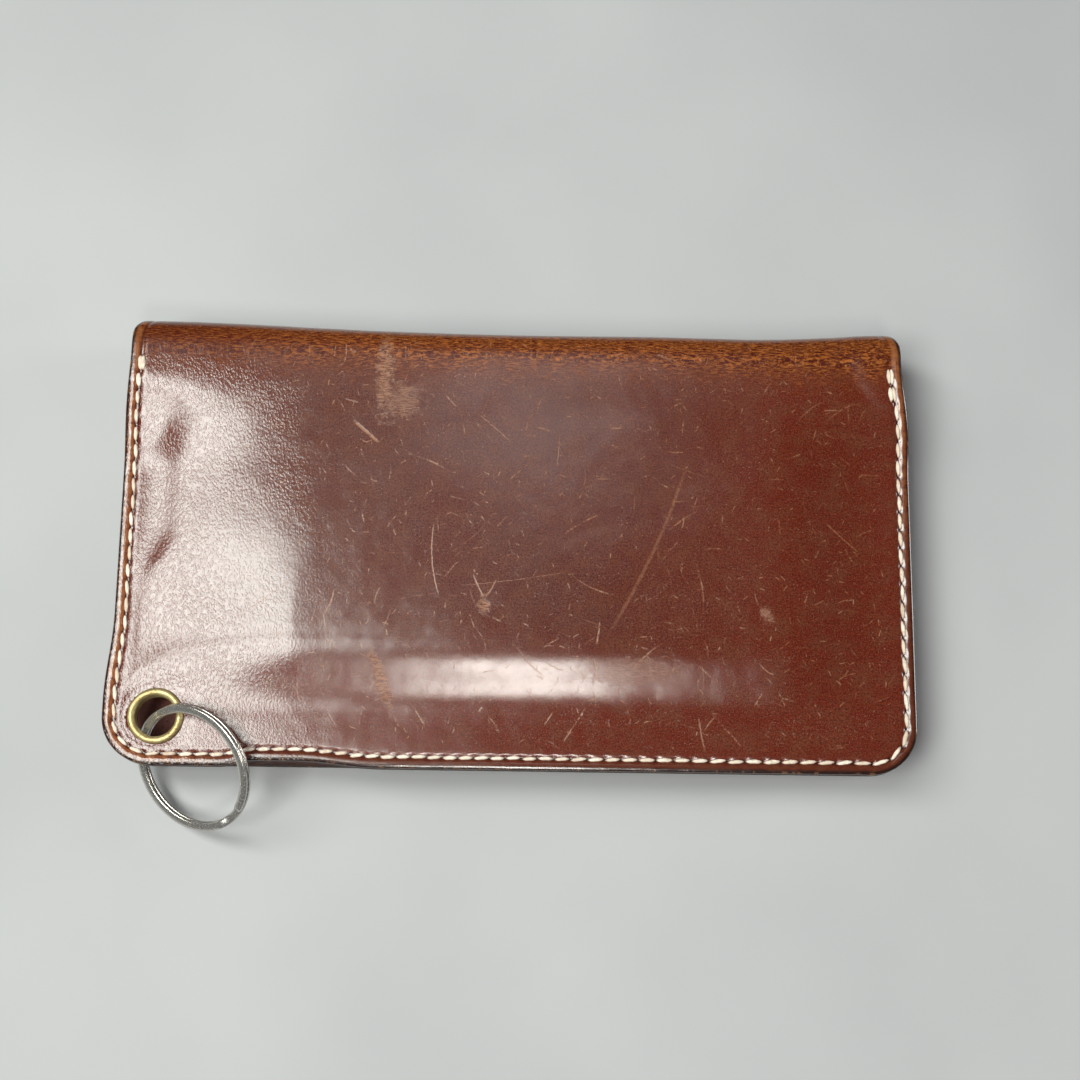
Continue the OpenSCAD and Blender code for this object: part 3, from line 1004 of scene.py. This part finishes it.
# (x, distance from the opening edge, half width, half height, angle, strength) of the rubbed patches
SCUFFS = [
    (-31.0, 89.0, 1.7, 8.5, 0.0, 0.8),
    (-27.0, 83.0, 4.2, 4.0, 20.0, 0.5),
    (-29.9, 19.5, 1.3, 6.2, 19.0, 0.9),
    (-7.6, 36.4, 1.3, 1.8, 0.0, 0.9),
    (55.5, 35.0, 1.2, 2.0, 30.0, 0.6),
    (26.0, 22.0, 10.0, 2.5, 0.0, 0.35),
]


# (size of the cells, width, share of the cells, seed) of the layers of small scratches
SMALL_MARKS = [
    (2.3, 0.2, 0.5, 3),
    (5.5, 0.24, 0.5, 11),
    (15.0, 0.28, 0.4, 23),
]


def one_scratch(s, flat, rough_edge, x, v, length, angle, bend, width, strength):
    """A thin mark with soft ends, slightly bent and broken up."""
    local = s.turned(flat, (x, v, 0), angle)
    along, across, _ = s.parts(local)
    across = s.minus(across, s.times(along, along, bend))
    across = s.size(s.plus(across, rough_edge))
    line = s.span(across, width * 0.8, width * 0.1)
    ends = s.span(s.size(along), length * 0.52, length * 0.3)
    return s.times(line, ends, strength)


def one_scuff(s, flat, broken, x, v, half_width, half_height, angle, strength):
    """A rubbed patch: an oval with a broken edge."""
    local = s.turned(flat, (x, v, 0), angle, (1 / half_width, 1 / half_height, 0))
    away = s.add("ShaderNodeVectorMath", {0: local}, "Value", operation="LENGTH")
    return s.times(s.span(s.plus(away, broken), 1.4, 0.5), strength)


def small_marks(s, flat, cell, width, share, seed):
    """Short scratches that lie any way round, one in some of the cells of a random pattern."""
    place = s.turned(flat, (seed, 3.1 * seed, 0), 0, (1 / cell, 1 / cell, 1))
    centre = s.cells(place, 1.0, output="Position")
    dice = s.cells(place, 1.0, output="Color")
    turn, chance, curve = s.parts(dice)
    local = s.vector("SUBTRACT", place, centre)
    angle = s.times(turn, 6.283)
    spun = s.add("ShaderNodeVectorRotate", {"Vector": local, "Angle": angle}, rotation_type="Z_AXIS")
    along, across, _ = s.parts(spun)
    bend = s.times(along, along, s.minus(curve, 0.5))
    across = s.size(s.plus(across, bend))
    line = s.span(across, width / cell, 0.2 * width / cell)
    ends = s.span(s.size(along), 0.42, 0.2)
    return s.times(line, ends, s.span(chance, 1 - share, 1.0))


def outer_leather():
    s = Shader("oiled_leather")
    flat = s.attribute("flat")
    x, v, _ = s.parts(flat)
    border = s.attribute("border", "Fac")
    dent = s.attribute("dent", "Fac")
    slow = s.noise(flat, 0.035, 3.0, 0.55)
    mottled = s.noise(flat, 0.2, 5.0, 0.65)
    fine = s.noise(flat, 2.0, 4.0, 0.7)
    pores = s.noise(flat, 3.4, 2.0, 0.6)

    # Body colour: purple brown in the middle, redder towards the right and the border.
    middle = s.times(s.span(x, -88, -40), s.span(x, 68, 12))
    middle = s.times(middle, s.times(s.span(v, 16, 36), s.span(v, 106, 84)))
    middle = s.times(middle, s.span(slow, 0.3, 0.62, 0.7, 1.0))
    colour = s.mix(middle, (0.112, 0.012, 0.0044), (0.082, 0.0215, 0.0155))
    colour = s.mix(s.span(mottled, 0.38, 0.68, 0.0, 0.6), colour, (0.12, 0.036, 0.016))
    colour = s.mix(s.span(fine, 0.44, 0.6, 0.0, 0.62), colour, (0.028, 0.005, 0.0035))
    colour = s.mix(s.span(pores, 0.5, 0.66, 0.0, 0.7), colour, (0.16, 0.05, 0.025))

    # The fold is worn to a lighter orange brown with fine creases along it.
    fold_line = FLAT_RUN + FOLD_ARC
    from_fold = s.size(s.minus(v, fold_line))
    uneven = s.plus(from_fold, s.times(s.minus(mottled, 0.5), 16.0))
    fold = s.span(uneven, 23.0, 13.0)
    grain_line = s.noise(s.turned(flat, scale=(0.55, 3.4, 1)), 1.0, 5.0, 0.75, 0.5)
    threads = s.span(grain_line, 0.45, 0.62)
    threads = s.times(threads, s.span(s.plus(x, s.times(slow, 40.0)), -95, 10, 0.35, 1.0))
    worn = s.mix(threads, (0.05, 0.0035, 0.0005), (0.36, 0.11, 0.018))
    colour = s.mix(s.times(fold, 0.9), colour, worn)
    speck = s.noise(s.turned(flat, scale=(1.1, 3.8, 1)), 1.0, 5.0, 0.8)
    specks = s.times(s.span(speck, 0.56, 0.66), s.span(uneven, 34.0, 9.0))
    specks = s.times(specks, s.span(x, -75, -25, 0.3, 1.0))
    colour = s.mix(s.times(specks, 0.75), colour, (0.4, 0.21, 0.085))

    # Marks: named scratches, rubbed patches and many small ones.
    edge_noise = s.times(s.minus(s.noise(flat, 1.1, 3.0, 0.6), 0.5), 0.5)
    breaks = s.span(s.noise(flat, 1.3, 3.0, 0.65), 0.36, 0.55)
    marks = s.largest(*[one_scratch(s, flat, edge_noise, *row) for row in SCRATCHES])
    marks = s.times(marks, s.plus(0.35, s.times(breaks, 0.65)))
    broken = s.times(s.minus(s.noise(flat, 0.6, 5.0, 0.75), 0.5), 4.0)
    rubbed = s.largest(*[one_scuff(s, flat, broken, *row) for row in SCUFFS])
    rubbed = s.times(rubbed, s.span(grain_line, 0.4, 0.55))
    used_part = s.times(s.span(x, -78, -35, 0.12, 1.0), s.span(border, 2.5, 9.0))
    shaken = s.plus_vector(flat, fine, 0.35)
    small = s.largest(*[small_marks(s, shaken, *row) for row in SMALL_MARKS])
    small = s.times(small, used_part, s.times(s.span(mottled, 0.38, 0.6, 0.15, 0.8), breaks))
    clusters = s.span(s.noise(flat, 0.14, 3.0, 0.6), 0.42, 0.62, 0.2, 1.0)
    dots = s.span(s.noise(flat, 1.7, 4.0, 0.7), 0.6, 0.72)
    dots = s.times(dots, s.times(used_part, clusters, 0.75))
    pale = s.largest(s.largest(marks, rubbed), s.largest(small, dots))
    colour = s.mix(s.times(pale, 0.85), colour, (0.3, 0.13, 0.06))

    # Outside the seam the border is darker, with two corners rubbed golden brown and a burnished rim.
    near_corner = s.span(s.minus(x, v), -62, -84)
    far_corner = s.span(s.plus(x, v), 128, 176)
    rub = s.plus(0.15, s.times(s.largest(near_corner, far_corner), 0.85))
    outside = s.span(border, 2.9, 2.1)
    unrubbed = s.minus(0.55, s.times(rub, 0.5))
    colour = s.mix(s.times(outside, unrubbed), colour, (0.04, 0.008, 0.005))
    strip = s.times(outside, s.span(s.noise(flat, 0.7, 4.0, 0.7), 0.32, 0.6))
    colour = s.mix(s.times(strip, rub, 0.85), colour, (0.25, 0.088, 0.03))
    # Painted shade: darker in the seam's groove and stitch holes, in step with how deep the leather is
    # pressed in there.
    colour = s.mix(s.span(dent, 0.16, 0.5, 0.0, 0.85), colour, (0.035, 0.006, 0.004))
    edge = s.span(s.plus(border, s.times(mottled, 0.9)), 1.9, 1.1)
    colour = s.mix(s.times(edge, 0.93), colour, (0.012, 0.0045, 0.0035))
    chips = s.times(s.span(border, 0.9, 0.45), s.span(s.noise(flat, 0.6, 4.0, 0.7), 0.52, 0.64))
    colour = s.mix(s.times(chips, 0.6), colour, (0.22, 0.11, 0.05))
    s.set("Base Color", colour)

    # Polish: smooth and shiny on the handled parts, duller where it is rubbed.
    gloss = s.span(slow, 0.3, 0.7, 0.175, 0.215)
    gloss = s.plus(gloss, s.times(pale, 0.22))
    gloss = s.plus(gloss, s.times(fold, 0.05))
    gloss = s.plus(gloss, s.times(s.minus(fine, 0.5), 0.08))
    s.set("Roughness", s.math("SUBTRACT", gloss, s.times(edge, 0.05), clamp=True))
    s.set("IOR", 1.48)
    s.set("Coat Weight", 0.5)
    s.set("Coat Roughness", 0.165)

    # Relief: pebbled grain, strong at the eyelet end, with pores, creases at the fold and the marks.
    bent = s.plus_vector(flat, s.wander(flat, 0.9), 1.0)
    tall = s.vector("MULTIPLY", bent, (1.25, 0.8, 1.0))
    pebbles = s.cells(tall, 1.6)
    crackle = s.cells(bent, 2.4, "DISTANCE_TO_EDGE")
    end_grain = s.span(s.plus(x, s.times(s.minus(slow, 0.5), 45.0)), -34, -72, 0.0, 1.0)
    end_grain = s.times(end_grain, s.plus(1.0, s.times(fold, -0.75)))
    height = s.times(s.span(pebbles, 0.1, 0.8, 0.75, 0.0), end_grain)
    height = s.plus(height, s.times(s.span(crackle, 0.0, 0.22), 0.035))
    height = s.plus(height, s.times(pores, 0.08))
    height = s.plus(height, s.times(grain_line, fold, 0.16))
    height = s.minus(height, s.times(pale, 0.6))
    broad = s.bump(s.noise(flat, 0.09, 2.0, 0.5), 0.25)
    normal = s.bump(height, 0.06, broad)
    s.set("Normal", normal)
    return s


def flesh_side():
    """The rough unfinished inner face of the outer leather."""
    s = Shader("leather_flesh_side")
    flat = s.attribute("flat")
    soft = s.noise(flat, 0.15, 4.0, 0.6)
    nap = s.noise(s.turned(flat, angle=25, scale=(1.6, 3.2, 1)), 1.0, 5.0, 0.75)
    colour = s.mix(s.span(soft, 0.3, 0.7), (0.1, 0.036, 0.02), (0.145, 0.056, 0.03))
    colour = s.mix(s.span(nap, 0.42, 0.62, 0.0, 0.6), colour, (0.21, 0.096, 0.055))
    s.set("Base Color", colour)
    s.set("Roughness", 0.92)
    s.set("Sheen Weight", 0.12)
    s.set("Normal", s.bump(nap, 0.12))
    return s


def add_flesh_side(*objects):
    """Gives the inner faces of sheets a material of their own."""
    material = flesh_side().material
    for obj in objects:
        obj.data.materials.append(material)
        inner_faces = np.zeros(len(obj.data.polygons), bool)
        obj.data.attributes["inner_face"].data.foreach_get("value", inner_faces)
        obj.data.polygons.foreach_set("material_index", inner_faces.astype(np.int32))


def lining_leather():
    s = Shader("pocket_leather")
    flat = s.attribute("flat")
    border = s.attribute("border", "Fac")
    soft = s.noise(flat, 0.12, 4.0, 0.6)
    fine = s.noise(flat, 1.4, 4.0, 0.6)
    colour = s.mix(s.span(soft, 0.3, 0.7), (0.1, 0.019, 0.012), (0.15, 0.036, 0.02))
    colour = s.mix(s.span(fine, 0.45, 0.75, 0.0, 0.5), colour, (0.05, 0.01, 0.006))
    colour = s.mix(s.span(border, 1.3, 0.5, 0.0, 0.85), colour, (0.03, 0.012, 0.008))
    s.set("Base Color", colour)
    s.set("Roughness", s.span(soft, 0.3, 0.7, 0.5, 0.64))
    bent = s.vector("ADD", flat, s.wander(flat, 1.2))
    cells = s.cells(bent, 1.5, "DISTANCE_TO_EDGE")
    height = s.plus(s.span(cells, 0.0, 0.25), s.times(fine, 0.5))
    s.set("Normal", s.bump(height, 0.05))
    return s


def thread_material():
    s = Shader("waxed_thread")
    at = s.place()
    tone = s.attribute("tone", "Fac")
    along = s.attribute("along", "Fac")
    dirt = s.noise(at, 0.5, 3.0, 0.6)
    colour = s.mix(tone, (0.66, 0.54, 0.42), (0.82, 0.73, 0.62))
    colour = s.mix(s.span(dirt, 0.5, 0.72, 0.0, 0.55), colour, (0.42, 0.28, 0.2))
    # Painted shade: each stitch is darker towards its ends, where the thread sinks into its holes.
    ends = s.span(s.size(along), 0.68, 1.0, 0.0, 0.8)
    colour = s.mix(ends, colour, (0.16, 0.07, 0.045))
    s.set("Base Color", colour)
    s.set("Roughness", 0.62)
    s.set("Sheen Weight", 0.15)
    fibres = s.noise(at, 9.0, 3.0, 0.6)
    s.set("Normal", s.bump(fibres, 0.06))
    return s


def brass_material():
    s = Shader("antique_brass")
    at = s.place()
    slow = s.noise(at, 0.55, 4.0, 0.6)
    fine = s.noise(at, 4.5, 4.0, 0.65)
    colour = s.mix(s.span(slow, 0.35, 0.68), (0.56, 0.46, 0.23), (0.4, 0.31, 0.14))
    spots = s.span(s.noise(at, 2.4, 4.0, 0.7), 0.56, 0.68)
    colour = s.mix(s.times(spots, 0.7), colour, (0.07, 0.045, 0.025))
    s.set("Base Color", colour)
    s.set("Metallic", 0.78)
    s.set("Roughness", s.plus(s.span(fine, 0.3, 0.75, 0.42, 0.58), s.times(spots, 0.2)))
    s.set("Normal", s.bump(s.plus(fine, s.times(spots, -0.6)), 0.03))
    return s


def zip_metal_material():
    s = Shader("zip_brass")
    at = s.place()
    slow = s.noise(at, 0.4, 3.0, 0.6)
    fine = s.noise(at, 6.0, 3.0, 0.6)
    colour = s.mix(s.span(slow, 0.35, 0.7), (0.62, 0.45, 0.2), (0.48, 0.33, 0.14))
    s.set("Base Color", s.mix(s.span(fine, 0.55, 0.75, 0.0, 0.5), colour, (0.2, 0.13, 0.06)))
    s.set("Metallic", 1.0)
    s.set("Roughness", s.span(fine, 0.3, 0.7, 0.24, 0.42))
    s.set("Normal", s.bump(fine, 0.015))
    return s


def steel_material():
    s = Shader("nickel_steel")
    at = s.place()
    fine = s.noise(at, 3.5, 4.0, 0.65)
    rubs = s.span(s.noise(s.turned(at, angle=30, scale=(0.6, 6.0, 6.0)), 1.0, 2.0), 0.6, 0.68)
    colour = s.mix(s.span(fine, 0.35, 0.7), (0.62, 0.6, 0.57), (0.46, 0.44, 0.41))
    s.set("Base Color", s.mix(s.times(rubs, 0.4), colour, (0.3, 0.26, 0.22)))
    s.set("Metallic", 0.85)
    s.set("Roughness", s.plus(s.span(fine, 0.3, 0.75, 0.14, 0.3), s.times(rubs, 0.15)))
    s.set("Normal", s.bump(s.plus(fine, rubs), 0.012))
    return s


def tape_material():
    s = Shader("zip_cloth")
    flat = s.attribute("flat")
    x, y, _ = s.parts(flat)
    ribs = s.math("SINE", s.times(x, 9.0))
    weft = s.math("SINE", s.times(y, 12.0))
    weave = s.times(ribs, weft)
    shade = s.noise(flat, 0.8, 3.0)
    colour = s.mix(s.span(weave, -0.6, 0.9), (0.008, 0.006, 0.006), (0.035, 0.026, 0.024))
    s.set("Base Color", s.mix(s.span(shade, 0.5, 0.8, 0.0, 0.4), colour, (0.05, 0.035, 0.03)))
    s.set("Roughness", 0.85)
    s.set("Normal", s.bump(weave, 0.08))
    return s


def floor_material():
    s = Shader("pale_floor")
    at = s.place()
    soft = s.noise(at, 0.01, 3.0)
    s.set("Base Color", s.mix(s.span(soft, 0.3, 0.7), (0.37, 0.378, 0.39), (0.41, 0.418, 0.43)))
    s.set("Roughness", 0.8)
    return s


# ---------------------------------------------------------------- stage
def look(place, azimuth, elevation, roll):
    """A matrix that looks from place: azimuth 0 is along +Y, elevation is above the horizon."""
    az, el, tilt = math.radians(azimuth), math.radians(elevation), math.radians(roll)
    forward = Vector((-math.sin(az) * math.cos(el), math.cos(az) * math.cos(el), -math.sin(el)))
    right = forward.cross(Vector((0, 0, 1))).normalized()
    up = right.cross(forward)
    right, up = (right * math.cos(tilt) + up * math.sin(tilt)), (up * math.cos(tilt) - right * math.sin(tilt))
    turn = Matrix((right, up, -forward)).transposed().to_4x4()
    turn.translation = Vector(place)
    return turn


def make_camera():
    data = bpy.data.cameras.new("camera")
    data.sensor_width = 36.0
    data.lens = 60.0
    data.clip_start = 0.01
    camera = bpy.data.objects.new("camera", data)
    bpy.context.collection.objects.link(camera)
    camera.matrix_world = look((-0.0067, -0.0888, 0.4145), -7.47, 77.28, 8.3)
    bpy.context.scene.camera = camera


# (name, place, target, width, height, watts, colour) of each light, in metres
LIGHTS = [
    ("left_window", (-0.49, 0.17, 0.95), (-0.06, 0, 0), 0.26, 0.78, 8.6, (0.98, 1.0, 0.94)),
    ("front_lamp", (0.01, -0.48, 0.9), (0, 0, 0), 0.13, 0.15, 1.6, (1.0, 0.95, 0.88)),
    ("corner_lamp", (-0.35, -0.22, 0.9), (-0.05, -0.03, 0), 0.34, 0.5, 6.8, (0.98, 1.0, 0.94)),
    ("side_lamp", (1.5, 0.25, 0.55), (0, 0, 0), 0.5, 0.5, 6.0, (1.0, 1.0, 1.0)),
    ("overhead", (0.03, 0.31, 0.95), (0, 0, 0), 0.2, 0.14, 0.16, (1.0, 1.0, 1.0)),
]


def make_light(name, place, target, width, height, power, colour):
    data = bpy.data.lights.new(name, "AREA")
    data.shape = "ELLIPSE"
    data.size, data.size_y = width, height
    data.energy = power
    data.color = colour
    light = bpy.data.objects.new(name, data)
    bpy.context.collection.objects.link(light)
    light.location = place
    light.rotation_euler = (Vector(target) - Vector(place)).to_track_quat("-Z", "Y").to_euler()


def make_stage():
    floor = mesh_object("floor", [(-3000, -3000, 0), (3000, -3000, 0), (3000, 3000, 0), (-3000, 3000, 0)],
                        [(0, 1, 2, 3)])
    floor.data.materials.append(floor_material().material)
    world = bpy.data.worlds.new("studio")
    world.use_nodes = True
    world.node_tree.nodes["Background"].inputs[0].default_value = (0.9, 0.93, 1.0, 1)
    world.node_tree.nodes["Background"].inputs[1].default_value = 0.05
    bpy.context.scene.world = world
    bpy.context.scene.view_settings.view_transform = "Standard"
    for row in LIGHTS:
        make_light(*row)


# ---------------------------------------------------------------- build
front = make_front_shell()
back = make_back_shell()
inner = make_inner_leather()
inner.append(make_zip_panel())
flange, washer = make_eyelet()
ring = make_ring()
front_seam()
back_seam()
inner_seams()
tapes = make_tapes()
teeth = make_teeth()
slider = softened("zip_slider", "slider_body", "slider", 0.12)
pull = softened("zip_pull", "slider_pull", "pull", 0.15)
stops = [softened("zip_stop_" + end, "metal_stop_" + end, "front_leaf", 0.2) for end in ("closed", "open")]

outer_leather().finish("outer_leather", front, back)
add_flesh_side(front, back)
lining_leather().finish("lining_leather", *inner)
thread_material().finish("thread", *[o for o in bpy.data.objects if o.name.startswith("thread_")])
brass_material().finish("eyelet_brass", flange, washer)
steel_material().finish("ring_steel", ring)
zip_metal_material().finish("zip_metal", slider, pull, *stops, *teeth)
tape_material().finish("zip_tape", *tapes)

make_camera()
make_stage()
